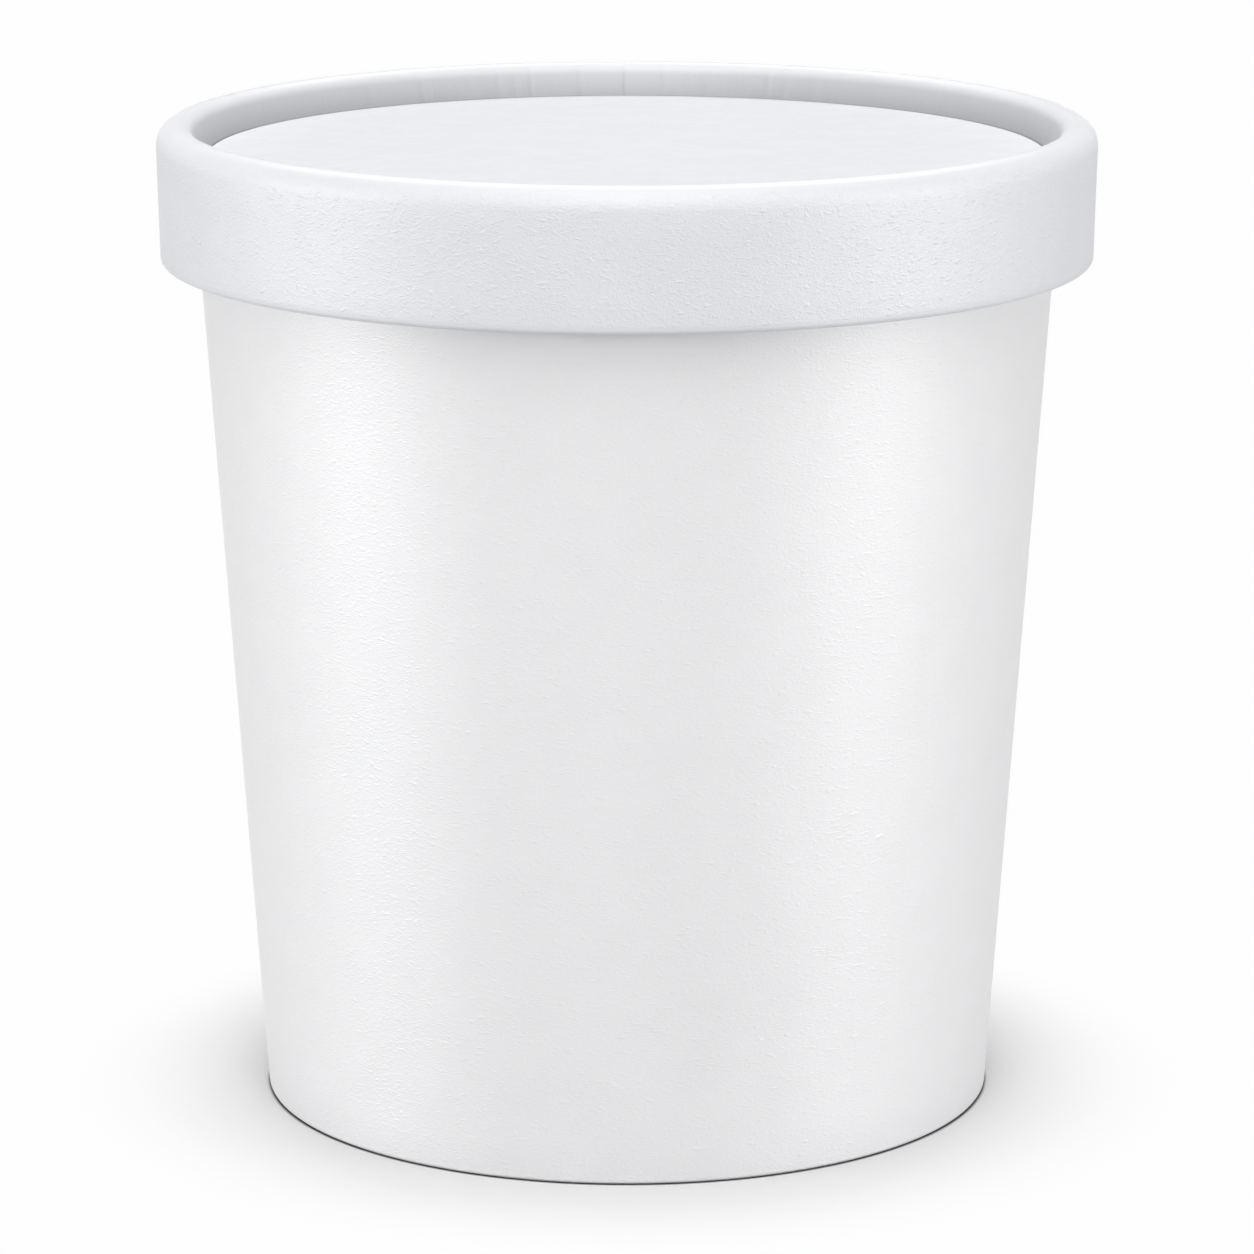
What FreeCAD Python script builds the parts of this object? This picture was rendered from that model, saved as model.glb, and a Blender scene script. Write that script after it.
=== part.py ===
import FreeCAD, Part
import math
import os

# A shut paper food tub: a tapered paper cup with a paper lid pressed over its rim.
# The origin is the centre of the foot on the ground, +Z is up and -Y is the front.
# All sizes are millimetres and all angles are degrees. Both lap seams are at the back.

# Driving dimensions of the cup
FOOT_RADIUS = 39.0
WALL_SLOPE = 0.0678
CUP_PAPER = 0.45
FOOT_WIDTH = 1.6
FOOT_ROUNDING = 0.4
HEM_HEIGHT = 5.0
BOARD_SET_IN = 0.7
RECESS_DEPTH = 6.6
BASE_BOARD = 0.6
BASE_CORNER = 0.9
BEAD_RADIUS = 1.4
BEAD_CENTRE_RADIUS = 47.1
BEAD_CENTRE_HEIGHT = 102.4

# Driving dimensions of the lid
LID_BOTTOM = 90.35
LID_TOP = 104.9
SKIRT_RADIUS = 49.25
SKIRT_SLOPE = 0.0239
SKIRT_THICKNESS = 0.8
LIP_THICKNESS = 1.3
LIP_ROUNDING = 0.62
LIP_HEIGHT = 4.2
LIP_EDGE_ROUNDING = 0.2
RIM_OUTER_ROUNDING = 2.3
RIM_INNER_ROUNDING = 1.7
RIM_PAPER = 0.45
RECESS_WALL_ANGLE = 64.7
DISC_RADIUS = 44.5
DISC_TOP = 101.4
DISC_BOARD = 0.6
DISC_ROUNDING = 0.3

# Lap seams, where one end of the rolled paper lies over the other
CUP_SEAM_ANGLE = 97.0
LID_SEAM_ANGLE = 90.4
CUP_LAP = 0.35
LID_LAP = 0.3
LAP_SPREAD = 24.0
LAP_RUN_OUT = 0.02
SEAM_OVERSHOOT = 5.0

# Sizes worked out from the ones above
DISC_UNDERSIDE = DISC_TOP - DISC_BOARD
BOARD_TOP = RECESS_DEPTH + BASE_BOARD
RECESS_WALL_RUN = 1.0 / math.tan(math.radians(RECESS_WALL_ANGLE))
RIM_PAPER_RUN = RIM_PAPER / math.sin(math.radians(RECESS_WALL_ANGLE))
TINY = 1e-4


def wall_radius(height):
    """Outside radius of the cup's wall at a height."""
    return FOOT_RADIUS + WALL_SLOPE * height


def skirt_radius(height):
    """Outside radius of the lid's skirt at a height."""
    return SKIRT_RADIUS + SKIRT_SLOPE * (height - LID_BOTTOM)


def recess_radius(height):
    """Radius of the sloping wall inside the lid's rim at a height."""
    return DISC_RADIUS + RECESS_WALL_RUN * (height - DISC_TOP)


def section_point(radius, height):
    """A point of a cross-section, which lies in the XZ plane."""
    return FreeCAD.Vector(radius, 0, height)


def rounded_corner(before, corner, after):
    """Start, middle and end of the arc that rounds one corner of a cross-section."""
    here = section_point(corner[0], corner[1])
    rounding = corner[2] if len(corner) > 2 else 0.0
    if rounding == 0.0:
        return here, here, here
    back = (section_point(before[0], before[1]) - here).normalize()
    ahead = (section_point(after[0], after[1]) - here).normalize()
    half_angle = back.getAngle(ahead) / 2
    reach = rounding / math.tan(half_angle)
    inward = (back + ahead).normalize()
    middle = here + inward * (rounding / math.sin(half_angle) - rounding)
    return here + back * reach, middle, here + ahead * reach


def outline_edges(corners):
    """Straight runs and arcs of a closed cross-section with rounded corners."""
    count = len(corners)
    arcs = []
    for i in range(count):
        arcs.append(rounded_corner(corners[i - 1], corners[i], corners[(i + 1) % count]))
    edges = []
    for i in range(count):
        start, middle, end = arcs[i]
        run_start = arcs[i - 1][2]
        if run_start.distanceToPoint(start) > TINY:
            edges.append(Part.LineSegment(run_start, start).toShape())
        if start.distanceToPoint(end) > TINY:
            edges.append(Part.Arc(start, middle, end).toShape())
    return edges


def turned(edges):
    """The solid that closed section edges sweep when turned once round the Z axis."""
    face = Part.Face(Part.Wire(edges))
    return face.revolve(FreeCAD.Vector(0, 0, 0), FreeCAD.Vector(0, 0, 1), 360)


def direction(angle):
    """A level unit vector at an angle round the Z axis."""
    return FreeCAD.Vector(math.cos(math.radians(angle)), math.sin(math.radians(angle)), 0)


def sector(start_angle, end_angle, radius, bottom, top):
    """A wedge of a round slab between two angles."""
    centre = FreeCAD.Vector(0, 0, bottom)
    first = centre + direction(start_angle) * radius
    last = centre + direction(end_angle) * radius
    face = Part.Face(Part.makePolygon([centre, first, last, centre]))
    return face.extrude(FreeCAD.Vector(0, 0, top - bottom))


def lap_step(radius_at, bottom, top, seam_angle, lap):
    """The sliver beside a seam where the lower layer dips in under the edge of the upper one."""
    far_angle = seam_angle + LAP_SPREAD
    shift = lap / (1 - math.cos(math.radians(LAP_SPREAD)))
    axis_foot = FreeCAD.Vector(0, 0, bottom) + direction(far_angle) * shift
    low_radius = radius_at(bottom) - shift + LAP_RUN_OUT
    high_radius = radius_at(top) - shift + LAP_RUN_OUT
    lower_layer = Part.makeCone(low_radius, high_radius, top - bottom, axis_foot)
    reach = radius_at(top) + SEAM_OVERSHOOT
    return sector(seam_angle, far_angle, reach, bottom, top).cut(lower_layer)


def bead_meets_wall():
    """Height at which the underside of the rolled bead runs into the cup's wall."""
    gap = FOOT_RADIUS - BEAD_CENTRE_RADIUS
    square = 1 + WALL_SLOPE ** 2
    linear = 2 * (gap * WALL_SLOPE - BEAD_CENTRE_HEIGHT)
    constant = gap ** 2 + BEAD_CENTRE_HEIGHT ** 2 - BEAD_RADIUS ** 2
    return (-linear - math.sqrt(linear ** 2 - 4 * square * constant)) / (2 * square)


def make_cup():
    """The tapered cup, solid up to the lid's disc, with a hemmed foot and a rolled bead."""
    bead_inside = BEAD_CENTRE_RADIUS - BEAD_RADIUS
    bead_outside = BEAD_CENTRE_RADIUS + BEAD_RADIUS
    bead_end = bead_meets_wall()
    corners = [
        (wall_radius(bead_end), bead_end),
        (FOOT_RADIUS, 0, FOOT_ROUNDING),
        (FOOT_RADIUS - FOOT_WIDTH, 0, FOOT_ROUNDING),
        (wall_radius(HEM_HEIGHT) - FOOT_WIDTH, HEM_HEIGHT),
        (wall_radius(HEM_HEIGHT) - BOARD_SET_IN, HEM_HEIGHT),
        (wall_radius(BOARD_TOP) - BOARD_SET_IN, BOARD_TOP),
        (0, BOARD_TOP),
        (0, DISC_UNDERSIDE),
        (wall_radius(DISC_UNDERSIDE) - CUP_PAPER, DISC_UNDERSIDE),
        (bead_inside, BEAD_CENTRE_HEIGHT),
    ]
    bead_start = section_point(bead_inside, BEAD_CENTRE_HEIGHT)
    bead_turn = section_point(bead_outside, BEAD_CENTRE_HEIGHT)
    bead = Part.Arc(bead_start, bead_turn, section_point(wall_radius(bead_end), bead_end))
    edges_below_the_bead = outline_edges(corners)[1:]
    cup = turned(edges_below_the_bead + [bead.toShape()])
    return cup.cut(lap_step(wall_radius, 0, DISC_UNDERSIDE, CUP_SEAM_ANGLE, CUP_LAP))


def make_base_board():
    """The round board in the foot, with its edge turned down inside the cup's wall."""
    flange_inside = BOARD_SET_IN + CUP_PAPER
    corners = [
        (0, RECESS_DEPTH),
        (wall_radius(RECESS_DEPTH) - flange_inside, RECESS_DEPTH, BASE_CORNER),
        (wall_radius(HEM_HEIGHT) - flange_inside, HEM_HEIGHT),
        (wall_radius(HEM_HEIGHT) - BOARD_SET_IN, HEM_HEIGHT),
        (wall_radius(BOARD_TOP) - BOARD_SET_IN, BOARD_TOP),
        (0, BOARD_TOP),
    ]
    return turned(outline_edges(corners))


def make_lid_band():
    """The lid's skirt with its turned-in lip, rolled over at the top into the recess wall."""
    under_rim = LID_TOP - RIM_PAPER
    lip_top = LID_BOTTOM + LIP_HEIGHT
    corners = [
        (SKIRT_RADIUS, LID_BOTTOM, LIP_ROUNDING),
        (skirt_radius(LID_TOP), LID_TOP, RIM_OUTER_ROUNDING),
        (recess_radius(LID_TOP), LID_TOP, RIM_INNER_ROUNDING),
        (recess_radius(DISC_UNDERSIDE), DISC_UNDERSIDE),
        (recess_radius(DISC_UNDERSIDE) + RIM_PAPER_RUN, DISC_UNDERSIDE),
        (recess_radius(under_rim) + RIM_PAPER_RUN, under_rim, RIM_INNER_ROUNDING - RIM_PAPER),
        (skirt_radius(under_rim) - SKIRT_THICKNESS, under_rim, RIM_OUTER_ROUNDING - SKIRT_THICKNESS),
        (skirt_radius(lip_top) - SKIRT_THICKNESS, lip_top),
        (skirt_radius(lip_top) - LIP_THICKNESS, lip_top, LIP_EDGE_ROUNDING),
        (SKIRT_RADIUS - LIP_THICKNESS, LID_BOTTOM, LIP_ROUNDING),
    ]
    band = turned(outline_edges(corners))
    seam_top = LID_TOP - RIM_OUTER_ROUNDING
    return band.cut(lap_step(skirt_radius, LID_BOTTOM, seam_top, LID_SEAM_ANGLE, LID_LAP))


def make_lid_disc():
    """The flat round board that closes the lid below its rim."""
    corners = [
        (0, DISC_UNDERSIDE),
        (recess_radius(DISC_UNDERSIDE), DISC_UNDERSIDE),
        (DISC_RADIUS, DISC_TOP, DISC_ROUNDING),
        (0, DISC_TOP),
    ]
    return turned(outline_edges(corners))


def main():
    """Write every piece of the tub to its own file."""
    os.makedirs("parts", exist_ok=True)
    pieces = {
        "cup": make_cup(),
        "base_board": make_base_board(),
        "lid_band": make_lid_band(),
        "lid_disc": make_lid_disc(),
    }
    for node, shape in pieces.items():
        shape.exportStep("parts/" + node + ".step")


main()
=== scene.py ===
import math
import random

import bmesh
import bpy
from mathutils import Matrix, Vector


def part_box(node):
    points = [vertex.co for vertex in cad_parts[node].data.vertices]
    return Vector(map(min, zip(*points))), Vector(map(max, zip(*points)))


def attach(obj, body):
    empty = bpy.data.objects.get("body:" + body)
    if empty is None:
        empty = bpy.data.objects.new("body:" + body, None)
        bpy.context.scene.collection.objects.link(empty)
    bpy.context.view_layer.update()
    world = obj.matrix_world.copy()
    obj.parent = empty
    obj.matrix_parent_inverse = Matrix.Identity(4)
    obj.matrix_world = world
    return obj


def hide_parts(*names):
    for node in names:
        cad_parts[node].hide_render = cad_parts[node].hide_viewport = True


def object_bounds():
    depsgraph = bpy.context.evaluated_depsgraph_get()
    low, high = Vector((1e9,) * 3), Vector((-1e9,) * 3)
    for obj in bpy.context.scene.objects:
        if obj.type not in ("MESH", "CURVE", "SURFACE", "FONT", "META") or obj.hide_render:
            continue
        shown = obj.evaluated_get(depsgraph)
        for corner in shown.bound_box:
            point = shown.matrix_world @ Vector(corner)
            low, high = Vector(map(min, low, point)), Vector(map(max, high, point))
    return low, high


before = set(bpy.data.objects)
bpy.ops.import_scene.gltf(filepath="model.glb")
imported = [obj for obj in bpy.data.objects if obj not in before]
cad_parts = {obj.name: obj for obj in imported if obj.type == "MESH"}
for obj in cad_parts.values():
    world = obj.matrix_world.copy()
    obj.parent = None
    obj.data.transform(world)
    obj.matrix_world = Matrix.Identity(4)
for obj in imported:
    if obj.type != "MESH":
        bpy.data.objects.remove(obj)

# The finish of a shut paper food tub: a white tapered cup with its paper lid pressed on.
# Everything is in metres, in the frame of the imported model: the foot stands on z 0, +Z is up,
# the front faces -Y and both lap seams are at the back, towards +Y.

cad_low, cad_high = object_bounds()
cup_low, cup_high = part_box("cup")
board_low, board_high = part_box("base_board")
band_low, band_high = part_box("lid_band")
disc_low, disc_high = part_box("lid_disc")

MM = 0.001

# The cup, with what its box doesn't give
FOOT_RADIUS = 39.0 * MM
WALL_SLOPE = 0.0678
CUP_PAPER = 0.45 * MM
FOOT_WIDTH = 1.6 * MM
FOOT_ROUNDING = 0.4 * MM
HEM_EDGE_ROUNDING = 0.12 * MM
BOARD_SET_IN = 0.7 * MM
BASE_BOARD = 0.6 * MM
BASE_CORNER = 0.9 * MM
BEAD_RADIUS = 1.4 * MM
BEAD_ROUNDING = BEAD_RADIUS * 0.98      # just short of a full half circle, so that two roundings don't meet

# The lid, with what its boxes don't give
SKIRT_RADIUS = 49.25 * MM
SKIRT_SLOPE = 0.0239
SKIRT_THICKNESS = 0.8 * MM
LIP_THICKNESS = 1.3 * MM
LIP_ROUNDING = 0.62 * MM
LIP_HEIGHT = 4.2 * MM
LIP_EDGE_ROUNDING = 0.2 * MM
RIM_OUTER_ROUNDING = 2.3 * MM
RIM_INNER_ROUNDING = 1.7 * MM
RIM_PAPER = 0.45 * MM
RECESS_WALL_ANGLE = math.radians(64.7)
DISC_RADIUS = 44.5 * MM
DISC_ROUNDING = 0.3 * MM

# The lap seams, where one end of the rolled paper lies over the other. A lap is pressed nearly flat,
# so what shows of it is less than the paper's thickness.
CUP_SEAM = math.radians(97.0)
LID_SEAM = math.radians(90.4)
CUP_LAP = 0.18 * MM
LID_LAP = 0.14 * MM
LAP_SPREAD = math.radians(24.0)
EDGE_WIDTH = 0.02 * MM

# The small upright creases of the paper tucked into the recess
CREASE_GAPS = (1.5, 9.0)                # degrees from one crease to the next
CREASE_WIDTHS = (0.2, 0.45)             # mm
CREASE_HEIGHTS = (0.025, 0.07)          # mm
CREASE_REACH = 12                       # columns to each side
CREASE_LIMIT = 0.04 * MM

# How finely the pieces are divided
CORNER_STEPS = 8
HIDDEN_CORNER_STEPS = 3
ROUND_STEPS_CUP = 720
ROUND_STEPS_LID = 1440
DOUBLINGS = 4
CUP_RUN = 4.0 * MM
SKIRT_RUN = 2.5 * MM
TUCK_RUN = 0.4 * MM
DISC_RUN = 3.0 * MM
UNDIVIDED = 1.0
CRISP_ANGLE = math.radians(35)


# ---------------------------------------------------------------------------
# Turned pieces
# ---------------------------------------------------------------------------

def wall_radius(height):
    """Outside radius of the cup's wall at a height."""
    return FOOT_RADIUS + WALL_SLOPE * height


def skirt_radius(height):
    """Outside radius of the lid's skirt at a height."""
    return SKIRT_RADIUS + SKIRT_SLOPE * (height - band_low.z)


def recess_radius(height):
    """Radius of the sloping wall inside the lid's rim at a height."""
    return DISC_RADIUS + (height - disc_high.z) / math.tan(RECESS_WALL_ANGLE)


def round_corner(bm, vert, rounding, steps):
    """Rounds one corner of an outline to a true radius."""
    ends = [edge.other_vert(vert).co - vert.co for edge in vert.link_edges]
    half_angle = ends[0].angle(ends[1]) / 2
    bmesh.ops.bevel(
        bm, geom=[vert], offset=rounding / math.tan(half_angle), offset_type="OFFSET",
        segments=steps, profile=0.5, affect="VERTICES", material=-1,
    )


def outline(corners, longest_run):
    """A cross-section in the XZ plane.

    A corner gives a radius and a height, and a rounding with its steps if it is round. longest_run
    says how long a straight run may be along an edge before it is divided.
    """
    bm = bmesh.new()
    verts = [bm.verts.new((corner[0], 0, corner[1])) for corner in corners]
    for first, second in zip(verts, verts[1:] + verts[:1]):
        bm.edges.new((first, second))
    for vert, corner in zip(verts, corners):
        if len(corner) == 4:
            round_corner(bm, vert, corner[2], corner[3])
    for edge in list(bm.edges):
        cuts = int(edge.calc_length() / longest_run(edge))
        if cuts > 0:
            bmesh.ops.subdivide_edges(bm, edges=[edge], cuts=cuts)
    return bm


def turn(bm, steps):
    """Turns the cross-section once round the Z axis: a slice is spun, then doubled to a full turn."""
    slice_angle = math.tau / 2 ** DOUBLINGS
    bmesh.ops.spin(
        bm, geom=bm.verts[:] + bm.edges[:], cent=(0, 0, 0), axis=(0, 0, 1),
        angle=slice_angle, steps=steps // 2 ** DOUBLINGS,
    )
    for doubling in range(DOUBLINGS):
        copy = bmesh.ops.duplicate(bm, geom=bm.verts[:] + bm.edges[:] + bm.faces[:])
        copied = [item for item in copy["geom"] if isinstance(item, bmesh.types.BMVert)]
        onward = Matrix.Rotation(slice_angle * 2 ** doubling, 3, "Z")
        bmesh.ops.rotate(bm, cent=(0, 0, 0), matrix=onward, verts=copied)
    bmesh.ops.remove_doubles(bm, verts=bm.verts[:], dist=0.001 * MM)
    bmesh.ops.recalc_face_normals(bm, faces=bm.faces[:])


def finished(bm, name):
    """Makes the skin a smooth object with its crisp edges kept crisp."""
    for face in bm.faces:
        face.smooth = True
    for edge in bm.edges:
        edge.smooth = edge.calc_face_angle(0) < CRISP_ANGLE
    mesh = bpy.data.meshes.new(name)
    bm.to_mesh(mesh)
    bm.free()
    piece = bpy.data.objects.new(name, mesh)
    bpy.context.scene.collection.objects.link(piece)
    return piece


# ---------------------------------------------------------------------------
# Seams and creases
# ---------------------------------------------------------------------------

def radius_of(vert):
    """Distance of a point from the Z axis."""
    return math.hypot(vert.co.x, vert.co.y)


def angle_of(vert):
    """Angle of a point round the Z axis, counted from the seam, from 0 to a full turn."""
    return math.atan2(vert.co.y, vert.co.x) % math.tau


def lap_dip(angle, lap):
    """How far the lower layer of paper dips under the upper one beside a seam."""
    if angle <= 0 or angle >= LAP_SPREAD:
        return 0.0
    return lap * (1 - math.cos(LAP_SPREAD - angle)) / (1 - math.cos(LAP_SPREAD))


def sharpen_seam(bm, steps):
    """Draws the first column beyond the seam up to it, so that the paper's cut edge is a step."""
    column = math.tau / steps
    for vert in bm.verts:
        radius = radius_of(vert)
        if radius < MM:
            continue
        if abs(angle_of(vert) - column) < column / 4:
            vert.co.x = radius * math.cos(EDGE_WIDTH / radius)
            vert.co.y = radius * math.sin(EDGE_WIDTH / radius)


def press(bm, relief):
    """Moves each point along its own normal by what relief gives, in metres outwards."""
    bm.normal_update()
    moves = [(vert, vert.normal * relief(vert)) for vert in bm.verts]
    for vert, move in moves:
        vert.co += move


def turn_to_seam(bm, seam):
    """Turns the piece so that its seam, made on +X, comes to its own place."""
    bmesh.ops.rotate(bm, cent=(0, 0, 0), matrix=Matrix.Rotation(seam, 3, "Z"), verts=bm.verts[:])


def recess_creases():
    """Depths of the upright creases in the recess, column by column round the lid."""
    dice = random.Random(5)
    column = math.tau / ROUND_STEPS_LID
    heights = [0.0] * ROUND_STEPS_LID
    angle = 0.0
    while angle < math.tau:
        angle += math.radians(dice.uniform(*CREASE_GAPS))
        width = dice.uniform(*CREASE_WIDTHS) * MM / recess_radius(disc_high.z)
        height = dice.choice((-1, 1)) * dice.uniform(*CREASE_HEIGHTS) * MM
        for step in range(-CREASE_REACH, CREASE_REACH + 1):
            place = int(angle / column) + step
            away = (place * column - angle) / width
            heights[place % ROUND_STEPS_LID] += height * math.exp(-away * away)
    return [min(height, CREASE_LIMIT) - CREASE_LIMIT for height in heights]


# ---------------------------------------------------------------------------
# The pieces
# ---------------------------------------------------------------------------

def make_cup():
    """The tapered paper cup: hemmed foot, lap seam and the rolled bead under the lid."""
    hem_top = board_low.z
    board_top = board_high.z
    mouth = disc_low.z
    bead_radius = cup_high.x - BEAD_RADIUS
    bead_foot = cup_high.z - BEAD_RADIUS * 2
    wall_top = cup_high.z - BEAD_RADIUS * 2.2
    well_inside = FOOT_RADIUS * 0.9
    corners = [
        (FOOT_RADIUS, 0, FOOT_ROUNDING, CORNER_STEPS),
        (FOOT_RADIUS - FOOT_WIDTH, 0, FOOT_ROUNDING, CORNER_STEPS),
        (wall_radius(hem_top) - FOOT_WIDTH, hem_top, HEM_EDGE_ROUNDING, HIDDEN_CORNER_STEPS),
        (wall_radius(hem_top) - BOARD_SET_IN, hem_top),
        (wall_radius(board_top) - BOARD_SET_IN, board_top),
        (0, board_top),
        (0, mouth),
        (wall_radius(mouth) - CUP_PAPER, mouth),
        (bead_radius - BEAD_RADIUS, cup_high.z, BEAD_ROUNDING, CORNER_STEPS),
        (cup_high.x, cup_high.z, BEAD_ROUNDING, CORNER_STEPS),
        (cup_high.x, bead_foot, BEAD_ROUNDING, CORNER_STEPS),
        (wall_radius(bead_foot), bead_foot),
    ]

    def longest_run(edge):
        innermost = min(vert.co.x for vert in edge.verts)
        return CUP_RUN if innermost > well_inside else UNDIVIDED

    def relief(vert):
        if vert.co.z > wall_top or radius_of(vert) < well_inside:
            return 0.0
        return -lap_dip(angle_of(vert), CUP_LAP)

    bm = outline(corners, longest_run)
    turn(bm, ROUND_STEPS_CUP)
    sharpen_seam(bm, ROUND_STEPS_CUP)
    press(bm, relief)
    turn_to_seam(bm, CUP_SEAM)
    return finished(bm, "paper_cup")


def make_foot_board():
    """The board in the foot, its edge turned down behind the hem."""
    flange_inside = BOARD_SET_IN + CUP_PAPER
    underside = board_high.z - BASE_BOARD
    corners = [
        (0, underside),
        (wall_radius(underside) - flange_inside, underside, BASE_CORNER, CORNER_STEPS),
        (wall_radius(board_low.z) - flange_inside, board_low.z),
        (wall_radius(board_low.z) - BOARD_SET_IN, board_low.z),
        (wall_radius(board_high.z) - BOARD_SET_IN, board_high.z),
        (0, board_high.z),
    ]

    def longest_run(edge):
        return CUP_RUN if edge.verts[0].co.z < board_high.z else UNDIVIDED

    bm = outline(corners, longest_run)
    turn(bm, ROUND_STEPS_CUP // 2)
    return finished(bm, "foot_board")


def make_lid_band():
    """The lid's paper band: turned-in lip, skirt, rolled rim and the sloping recess wall."""
    under_rim = band_high.z - RIM_PAPER
    lip_top = band_low.z + LIP_HEIGHT
    paper_run = RIM_PAPER / math.sin(RECESS_WALL_ANGLE)
    under_inner = RIM_INNER_ROUNDING - RIM_PAPER
    under_outer = RIM_OUTER_ROUNDING - SKIRT_THICKNESS
    crest = skirt_radius(band_high.z) - RIM_OUTER_ROUNDING
    corners = [
        (SKIRT_RADIUS, band_low.z, LIP_ROUNDING, CORNER_STEPS),
        (skirt_radius(band_high.z), band_high.z, RIM_OUTER_ROUNDING, CORNER_STEPS),
        (recess_radius(band_high.z), band_high.z, RIM_INNER_ROUNDING, CORNER_STEPS),
        (recess_radius(disc_low.z), disc_low.z),
        (recess_radius(disc_low.z) + paper_run, disc_low.z),
        (recess_radius(under_rim) + paper_run, under_rim, under_inner, HIDDEN_CORNER_STEPS),
        (skirt_radius(under_rim) - SKIRT_THICKNESS, under_rim, under_outer, HIDDEN_CORNER_STEPS),
        (skirt_radius(lip_top) - SKIRT_THICKNESS, lip_top),
        (skirt_radius(lip_top) - LIP_THICKNESS, lip_top, LIP_EDGE_ROUNDING, HIDDEN_CORNER_STEPS),
        (SKIRT_RADIUS - LIP_THICKNESS, band_low.z, LIP_ROUNDING, CORNER_STEPS),
    ]
    creases = recess_creases()

    def on_skirt(radius, height):
        return radius > skirt_radius(height) - SKIRT_THICKNESS / 2

    def on_recess_wall(radius, height):
        return radius < recess_radius(height) + RIM_PAPER / 2

    def longest_run(edge):
        middle = (edge.verts[0].co + edge.verts[1].co) / 2
        if on_recess_wall(middle.x, middle.z):
            return TUCK_RUN
        if on_skirt(middle.x, middle.z):
            return SKIRT_RUN
        return UNDIVIDED

    def relief(vert):
        radius = radius_of(vert)
        height = vert.co.z
        on_top = height > under_rim + RIM_PAPER / 4
        if not (on_top or on_skirt(radius, height) or on_recess_wall(radius, height)):
            return 0.0
        amount = -lap_dip(angle_of(vert), LID_LAP)
        if radius < crest:
            inside = min(1.0, (crest - radius) / (RIM_INNER_ROUNDING * 0.9))
            column = round(angle_of(vert) / math.tau * ROUND_STEPS_LID) % ROUND_STEPS_LID
            amount += creases[column] * inside
        return amount

    bm = outline(corners, longest_run)
    turn(bm, ROUND_STEPS_LID)
    sharpen_seam(bm, ROUND_STEPS_LID)
    press(bm, relief)
    turn_to_seam(bm, LID_SEAM)
    return finished(bm, "lid_paper_band")


def make_lid_board():
    """The flat board that closes the lid below its rim."""
    corners = [
        (0, disc_low.z),
        (recess_radius(disc_low.z), disc_low.z),
        (DISC_RADIUS, disc_high.z, DISC_ROUNDING, CORNER_STEPS),
        (0, disc_high.z),
    ]

    def longest_run(edge):
        return DISC_RUN if edge.verts[0].co.z > disc_low.z else UNDIVIDED

    bm = outline(corners, longest_run)
    turn(bm, ROUND_STEPS_CUP)
    return finished(bm, "lid_board")


# ---------------------------------------------------------------------------
# Short ways to make a material
# ---------------------------------------------------------------------------

def new_finish(name, colour, roughness):
    """A material, its node tree and its shader."""
    material = bpy.data.materials.new(name)
    material.use_nodes = True
    tree = material.node_tree
    shader = tree.nodes["Principled BSDF"]
    shader.inputs["Base Color"].default_value = (*colour, 1)
    shader.inputs["Roughness"].default_value = roughness
    shader.inputs["IOR"].default_value = 1.5
    return material, tree, shader


def link(tree, out_socket, in_socket):
    tree.links.new(out_socket, in_socket)


def give(tree, value, socket):
    """Gives a socket its value, which is a number, a colour or another socket."""
    if isinstance(value, tuple):
        socket.default_value = (*value, 1)
    elif isinstance(value, (int, float)):
        socket.default_value = value
    else:
        link(tree, value, socket)


def stretched_place(tree, scale):
    """Object coordinates, stretched by a scale along each axis."""
    place = tree.nodes.new("ShaderNodeTexCoord")
    mapping = tree.nodes.new("ShaderNodeMapping")
    mapping.inputs["Scale"].default_value = scale
    link(tree, place.outputs["Object"], mapping.inputs["Vector"])
    return mapping.outputs["Vector"]


def away_from_axis(tree):
    """Distance from the tub's axis."""
    length = tree.nodes.new("ShaderNodeVectorMath")
    length.operation = "LENGTH"
    link(tree, stretched_place(tree, (1, 1, 0)), length.inputs[0])
    return length.outputs["Value"]


def height_up(tree):
    """Height above the foot."""
    parts = tree.nodes.new("ShaderNodeSeparateXYZ")
    link(tree, stretched_place(tree, (1, 1, 1)), parts.inputs["Vector"])
    return parts.outputs["Z"]


def grain(tree, scale, size, kind="FBM", detail=3.0, rough=0.5, distortion=0.0):
    """A noise with features of about a size in metres, on stretched object coordinates."""
    texture = tree.nodes.new("ShaderNodeTexNoise")
    texture.noise_type = kind
    texture.inputs["Scale"].default_value = 1.0 / size
    texture.inputs["Detail"].default_value = detail
    texture.inputs["Roughness"].default_value = rough
    texture.inputs["Distortion"].default_value = distortion
    link(tree, stretched_place(tree, scale), texture.inputs["Vector"])
    return texture.outputs["Fac"]


def arithmetic(tree, operation, first, second):
    """One arithmetic node; each of its two values is a number or a socket."""
    node = tree.nodes.new("ShaderNodeMath")
    node.operation = operation
    give(tree, first, node.inputs[0])
    give(tree, second, node.inputs[1])
    return node.outputs["Value"]


def times(tree, first, second):
    return arithmetic(tree, "MULTIPLY", first, second)


def plus(tree, first, second):
    return arithmetic(tree, "ADD", first, second)


def without(tree, share):
    """What is left of one when a share is taken away."""
    return arithmetic(tree, "SUBTRACT", 1.0, share)


def larger(tree, first, second):
    return arithmetic(tree, "MAXIMUM", first, second)


def ramp(tree, value, start, end, low=0.0, high=1.0, smooth=True):
    """Runs from low to high while a value runs from start to end."""
    ranged = tree.nodes.new("ShaderNodeMapRange")
    ranged.interpolation_type = "SMOOTHSTEP" if smooth else "LINEAR"
    ranged.inputs["From Min"].default_value = start
    ranged.inputs["From Max"].default_value = end
    ranged.inputs["To Min"].default_value = low
    ranged.inputs["To Max"].default_value = high
    link(tree, value, ranged.inputs["Value"])
    return ranged.outputs["Result"]


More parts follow.
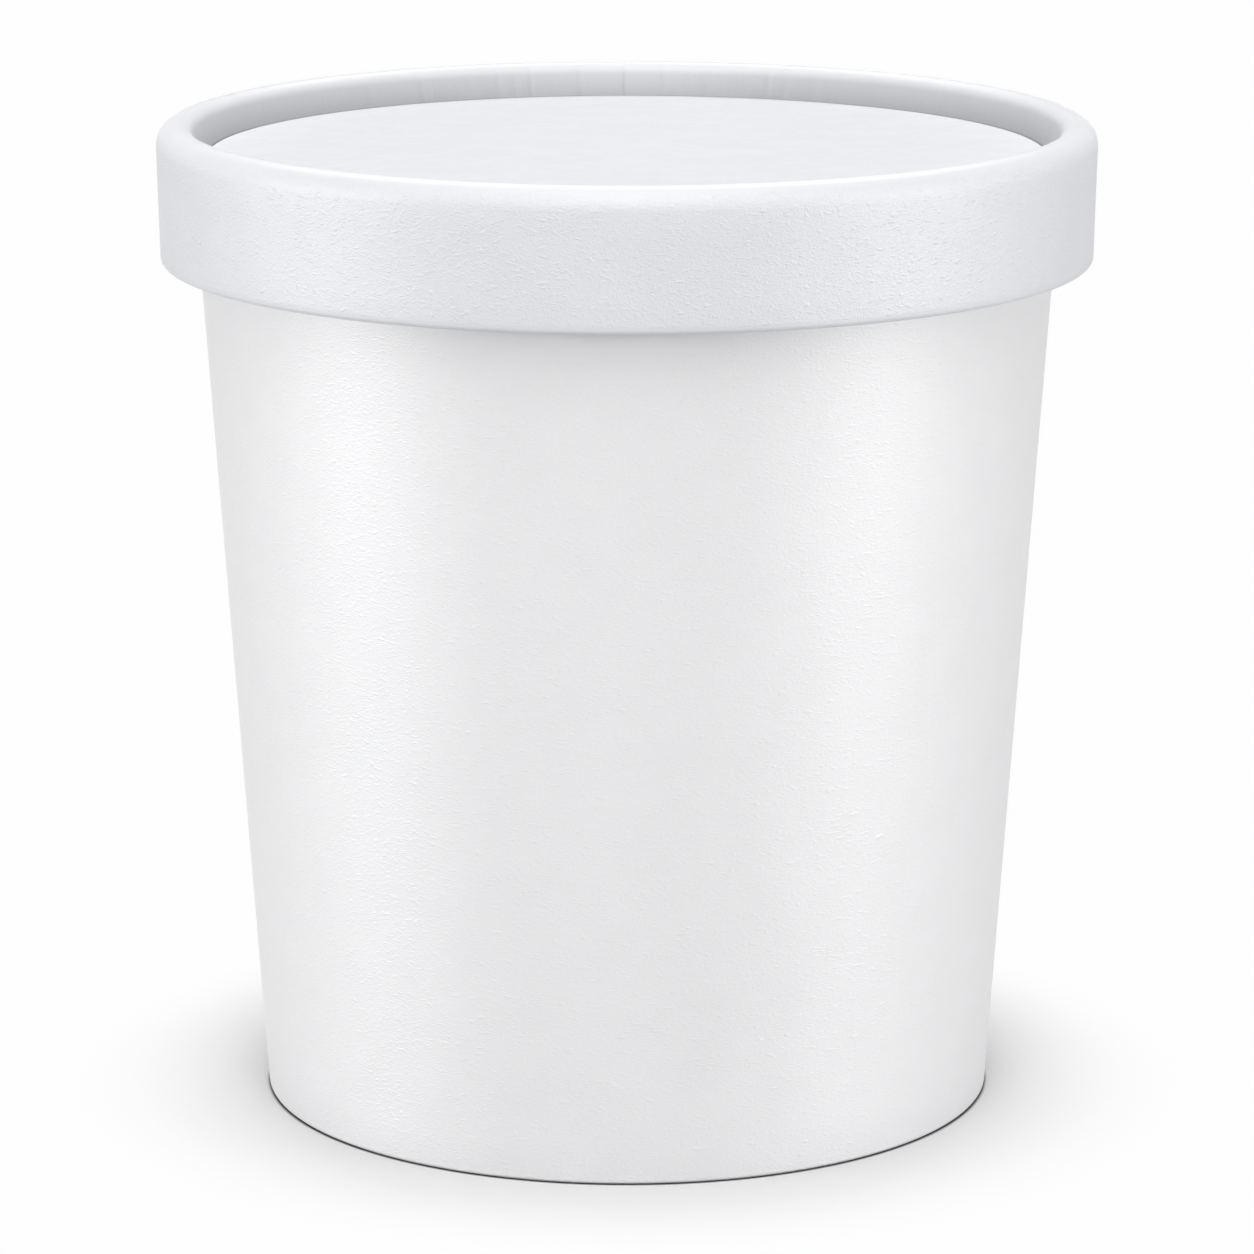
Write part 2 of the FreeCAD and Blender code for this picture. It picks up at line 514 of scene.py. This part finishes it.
def mixed(tree, factor, first, second):
    """A colour between two, each a colour or a socket."""
    mix = tree.nodes.new("ShaderNodeMix")
    mix.data_type = "RGBA"
    give(tree, first, mix.inputs["A"])
    give(tree, second, mix.inputs["B"])
    link(tree, factor, mix.inputs["Factor"])
    return mix.outputs["Result"]


def raise_surface(tree, shader, height, depth):
    """Relief from a height socket, depth metres for a height of one."""
    bump = tree.nodes.new("ShaderNodeBump")
    bump.inputs["Strength"].default_value = 1.0
    bump.inputs["Distance"].default_value = depth
    link(tree, height, bump.inputs["Height"])
    link(tree, bump.outputs["Normal"], shader.inputs["Normal"])


def worms(tree, scale, size):
    """Short thin ridges that wind mostly level, with finer fibres over them, from about 0 to 1."""
    ridges = grain(tree, scale, size, "RIDGED_MULTIFRACTAL", detail=1.0, rough=0.6, distortion=0.7)
    fibres = grain(tree, scale, size * 0.4, detail=2.0)
    return plus(tree, times(tree, ridges, 0.6), times(tree, fibres, 0.4))


# ---------------------------------------------------------------------------
# Paper and board finishes
# ---------------------------------------------------------------------------

# Each finish has its plain colour, then the two shades that its clouds and fibres run between.
CUP_WHITE = (0.765, 0.765, 0.778)
CUP_SHADES = (0.745, 0.745, 0.758), (0.785, 0.785, 0.797)
CUP_GRAIN = 0.78 * MM
CUP_GRAIN_DEPTH = 0.055 * MM

LID_WHITE = (0.67, 0.678, 0.705)
LID_SHADES = (0.655, 0.663, 0.69), (0.69, 0.698, 0.723)
# Painted shade on the paper tucked into the recess: lighter by the crest, darker down towards the board.
TUCK_PAINTED_SHADES = (0.493, 0.498, 0.52), (0.355, 0.36, 0.378)
# A painted shadow line where the band's paper meets the lid board.
JOIN_PAINTED_SHADOW = (0.22, 0.22, 0.23)
EMBOSS = 0.62 * MM
EMBOSS_DEPTH = 0.12 * MM
PLEAT = 0.7 * MM

DISC_WHITE = (0.835, 0.843, 0.87)
DISC_SHADES = (0.80, 0.808, 0.835), (0.867, 0.875, 0.902)
DISC_STREAK = 1.6 * MM
DISC_FIBRE = 0.35 * MM
DISC_GRAIN_DEPTH = 0.055 * MM

FOOT_WHITE = (0.76, 0.76, 0.75)
FOOT_SHADES = (0.74, 0.74, 0.73), (0.79, 0.79, 0.78)
FOOT_FIBRE = 0.5 * MM
FOOT_GRAIN_DEPTH = 0.02 * MM


def cup_paper():
    """Satin coated white paper with a fine, wispy, level fibre grain."""
    material, tree, shader = new_finish("satin cup paper", CUP_WHITE, 0.5)
    shader.inputs["Specular IOR Level"].default_value = 1.0
    shader.inputs["IOR"].default_value = 1.75
    raise_surface(tree, shader, worms(tree, (1, 1, 2.4), CUP_GRAIN), CUP_GRAIN_DEPTH)
    clouds = grain(tree, (1, 1, 1.6), 7 * MM, detail=4.0)
    link(tree, mixed(tree, clouds, *CUP_SHADES), shader.inputs["Base Color"])
    satin = ramp(tree, clouds, 0.0, 1.0, 0.47, 0.53, smooth=False)
    link(tree, satin, shader.inputs["Roughness"])
    return material


def lid_paper():
    """Satin coated cool white paper: embossed skirt, smooth crest and lip, with painted shade where it is
    tucked into the recess and a painted shadow line at the board.
    """
    material, tree, shader = new_finish("embossed lid paper", LID_WHITE, 0.57)
    shader.inputs["Specular IOR Level"].default_value = 1.0
    shader.inputs["IOR"].default_value = 1.6
    away = away_from_axis(tree)
    up = height_up(tree)
    crest = recess_radius(band_high.z)

    below_crest = ramp(tree, up, band_high.z - 0.4 * MM, band_high.z - 1.0 * MM)
    above_lip = ramp(tree, up, band_low.z + 0.5 * MM, band_low.z + 0.9 * MM)
    inside = ramp(tree, away, crest + 1.2 * MM, crest + 0.6 * MM)
    in_recess = ramp(tree, up, band_high.z - 0.4 * MM, band_high.z - 1.3 * MM)
    tucked_in = times(tree, inside, in_recess)
    skirt = times(tree, times(tree, below_crest, above_lip), without(tree, inside))

    emboss = times(tree, worms(tree, (1, 1, 1.7), EMBOSS), skirt)
    pleats = times(tree, grain(tree, (1, 1, 0.2), PLEAT), times(tree, tucked_in, 0.6))
    raise_surface(tree, shader, plus(tree, emboss, pleats), EMBOSS_DEPTH)

    clouds = grain(tree, (1, 1, 1.5), 6 * MM, detail=4.0)
    face = mixed(tree, clouds, *LID_SHADES)
    # Painted shade in the recess, deepening from below the crest down to the board.
    depth = ramp(tree, up, band_high.z - 1.0 * MM, disc_high.z + 0.3 * MM, smooth=False)
    tuck_painted_shade = mixed(tree, depth, *TUCK_PAINTED_SHADES)
    # Painted shadow line along the foot of the recess wall, where it meets the board.
    join_shadow_mask = ramp(tree, up, disc_high.z + 0.1 * MM, disc_high.z - 0.15 * MM)
    painted_recess_shade = mixed(tree, join_shadow_mask, tuck_painted_shade, JOIN_PAINTED_SHADOW)
    link(tree, mixed(tree, tucked_in, face, painted_recess_shade), shader.inputs["Base Color"])
    link(tree, ramp(tree, below_crest, 0.0, 1.0, 0.43, 0.56), shader.inputs["Roughness"])
    return material


def lid_board_card():
    """Satin coated cool white board with fine level fibres along its grain, and a painted shadow line round
    its edge.
    """
    material, tree, shader = new_finish("lid board card", DISC_WHITE, 0.65)
    shader.inputs["Specular IOR Level"].default_value = 0.3
    streaks = grain(tree, (1, 5, 1), DISC_STREAK, detail=4.0, rough=0.6)
    fibres = grain(tree, (1, 2.5, 1), DISC_FIBRE, detail=2.0)
    clouds = grain(tree, (1, 2, 1), 8 * MM)
    raise_surface(tree, shader, plus(tree, streaks, times(tree, fibres, 0.4)), DISC_GRAIN_DEPTH)
    speckle = plus(tree, times(tree, streaks, 0.75), times(tree, clouds, 0.25))
    face = mixed(tree, ramp(tree, speckle, 0.3, 0.7), *DISC_SHADES)
    # Painted shadow line round the board's edge, where it meets the band's paper.
    join_shadow_mask = ramp(tree, away_from_axis(tree), DISC_RADIUS - 0.12 * MM, DISC_RADIUS)
    link(tree, mixed(tree, join_shadow_mask, face, JOIN_PAINTED_SHADOW), shader.inputs["Base Color"])
    satin = ramp(tree, fibres, 0.0, 1.0, 0.62, 0.68, smooth=False)
    link(tree, satin, shader.inputs["Roughness"])
    return material


def foot_board_card():
    """Matt white paper board, a little duller than the cup."""
    material, tree, shader = new_finish("foot board card", FOOT_WHITE, 0.6)
    fibres = grain(tree, (1, 2.5, 1), FOOT_FIBRE, detail=4.0, rough=0.6)
    clouds = grain(tree, (1, 1, 1), 6 * MM, detail=4.0)
    raise_surface(tree, shader, fibres, FOOT_GRAIN_DEPTH)
    link(tree, mixed(tree, clouds, *FOOT_SHADES), shader.inputs["Base Color"])
    matt = ramp(tree, fibres, 0.0, 1.0, 0.55, 0.7, smooth=False)
    link(tree, matt, shader.inputs["Roughness"])
    return material


# ---------------------------------------------------------------------------
# Floor, light and camera
# ---------------------------------------------------------------------------

CAMERA_BACK = 604.25 * MM
CAMERA_UP = 188.47 * MM
CAMERA_DIP = 0.22539
CAMERA_LENS = 165.51
CAMERA_SENSOR = 36.0

SKY_LIGHT = 0.02
SKY_SEEN = 0.985

FLOOR_SIZE = 6.0
FLOOR_GAP = 0.02 * MM
FLOOR_WHITE = 0.99
FLOOR_SEEN = (0.73, 0.73, 0.73)
FLOOR_BOUNCE = (0.50, 0.50, 0.50)
# Painted shadow: the dark ring painted on the floor just round the foot's edge.
FLOOR_PAINTED_SHADOW = (0.08, 0.08, 0.08)
FLOOR_FADES_AT = 62.0 * MM

LAMP_DISTANCE = 1.2
# name, angle round the tub from the front, height angle, width, height, power
LAMPS = [
    ("left", -75, 4, 0.3, 0.22, 7.3),
    ("right", 68, 4, 0.3, 0.22, 6.6),
    ("front", 0, 25, 0.8, 0.6, 3.6),
    ("high front", 0, 58, 0.8, 0.8, 7.3),
    ("back", 180, 48, 0.9, 0.5, 4.4),
    ("top", 0, 89.9, 1.0, 1.0, 3.2),
]


def seen_rays(tree):
    """1 for the rays that show the surroundings: straight, mirrored or through glass."""
    path = tree.nodes.new("ShaderNodeLightPath")
    straight_or_mirrored = larger(tree, path.outputs["Is Camera Ray"], path.outputs["Is Glossy Ray"])
    return larger(tree, straight_or_mirrored, path.outputs["Is Transmission Ray"])


def blended(tree, factor, first, second):
    """A shader between two."""
    blend = tree.nodes.new("ShaderNodeMixShader")
    link(tree, factor, blend.inputs["Fac"])
    link(tree, first, blend.inputs[1])
    link(tree, second, blend.inputs[2])
    return blend.outputs["Shader"]


def floor_finish():
    """A plain pale floor that keeps the tub's shadow, with a painted dark ring of shadow along the foot's
    edge, and fades to white further out.

    It is clear from below, and under the foot it glows, so that the underside can be seen.
    """
    material, tree, shader = new_finish("floor_white", FLOOR_SEEN, 0.9)
    shader.inputs["Specular IOR Level"].default_value = 0.0
    looked_at = seen_rays(tree)
    away = away_from_axis(tree)

    # Painted shadow: a dark ring on the floor along the foot's edge, over the real shadow.
    contact_shadow_mask = ramp(tree, away, FOOT_RADIUS + 0.35 * MM, FOOT_RADIUS - 0.1 * MM)
    open_floor = mixed(tree, looked_at, FLOOR_BOUNCE, FLOOR_SEEN)
    link(tree, mixed(tree, contact_shadow_mask, open_floor, FLOOR_PAINTED_SHADOW), shader.inputs["Base Color"])

    near = ramp(tree, away, FOOT_RADIUS, FLOOR_FADES_AT, 1.0, 0.0, smooth=False)
    shadow_seen = larger(tree, times(tree, near, near), without(tree, looked_at))
    in_the_open = ramp(tree, away, FOOT_RADIUS - 0.9 * MM, FOOT_RADIUS - 0.7 * MM)
    glow = tree.nodes.new("ShaderNodeEmission")
    glow.inputs["Color"].default_value = (FLOOR_WHITE, FLOOR_WHITE, FLOOR_WHITE, 1)
    from_above = blended(
        tree, times(tree, shadow_seen, in_the_open), glow.outputs["Emission"], shader.outputs["BSDF"],
    )

    side = tree.nodes.new("ShaderNodeNewGeometry")
    clear = tree.nodes.new("ShaderNodeBsdfTransparent")
    one_sided = blended(tree, side.outputs["Backfacing"], from_above, clear.outputs["BSDF"])
    link(tree, one_sided, tree.nodes["Material Output"].inputs["Surface"])
    return material


def make_floor():
    """The floor, a hair's breadth under the foot."""
    bm = bmesh.new()
    level = Matrix.Translation((0, 0, -FLOOR_GAP))
    bmesh.ops.create_grid(bm, x_segments=1, y_segments=1, size=FLOOR_SIZE / 2, matrix=level)
    mesh = bpy.data.meshes.new("floor")
    bm.to_mesh(mesh)
    bm.free()
    floor = bpy.data.objects.new("floor", mesh)
    bpy.context.scene.collection.objects.link(floor)
    mesh.materials.append(floor_finish())


def make_sky():
    """Even surroundings: faint as a light, and white where they are seen."""
    world = bpy.data.worlds.new("surroundings")
    bpy.context.scene.world = world
    world.use_nodes = True
    tree = world.node_tree
    light = tree.nodes["Background"]
    light.inputs["Color"].default_value = (1, 1, 1, 1)
    light.inputs["Strength"].default_value = SKY_LIGHT
    white = tree.nodes.new("ShaderNodeBackground")
    white.inputs["Color"].default_value = (SKY_SEEN, SKY_SEEN, SKY_SEEN, 1)
    white.inputs["Strength"].default_value = 1.0
    sky = blended(tree, seen_rays(tree), light.outputs["Background"], white.outputs["Background"])
    link(tree, sky, tree.nodes["World Output"].inputs["Surface"])


def make_lamp(name, around, up, width, height, power):
    """A soft rectangular lamp that faces the middle of the tub."""
    lamp = bpy.data.lights.new(name, "AREA")
    lamp.shape = "RECTANGLE"
    lamp.size = width
    lamp.size_y = height
    lamp.energy = power
    aim = (cad_low + cad_high) / 2
    around = math.radians(around)
    up = math.radians(up)
    towards = Vector((
        math.sin(around) * math.cos(up),
        -math.cos(around) * math.cos(up),
        math.sin(up),
    ))
    stand = bpy.data.objects.new(name, lamp)
    stand.location = aim + towards * LAMP_DISTANCE
    stand.rotation_euler = towards.to_track_quat("Z", "Y").to_euler()
    bpy.context.scene.collection.objects.link(stand)


def make_camera():
    """The camera stands before the tub, a little above its lid."""
    data = bpy.data.cameras.new("camera")
    data.lens = CAMERA_LENS
    data.sensor_width = CAMERA_SENSOR
    data.sensor_fit = "HORIZONTAL"
    data.clip_start = 0.01
    data.clip_end = 50
    camera = bpy.data.objects.new("camera", data)
    camera.location = (0, -CAMERA_BACK, CAMERA_UP)
    camera.rotation_euler = (math.pi / 2 - CAMERA_DIP, 0, 0)
    bpy.context.scene.collection.objects.link(camera)
    bpy.context.scene.camera = camera


# ---------------------------------------------------------------------------
# Put together
# ---------------------------------------------------------------------------

def dress(piece, node, material):
    """Gives a piece its finish and lets it stand for its node of the frame."""
    piece.data.materials.append(material)
    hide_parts(node)
    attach(piece, "root")


dress(make_cup(), "cup", cup_paper())
dress(make_foot_board(), "base_board", foot_board_card())
dress(make_lid_band(), "lid_band", lid_paper())
dress(make_lid_board(), "lid_disc", lid_board_card())

make_floor()
make_sky()
for lamp_row in LAMPS:
    make_lamp(*lamp_row)
make_camera()
bpy.context.scene.view_settings.view_transform = "Standard"
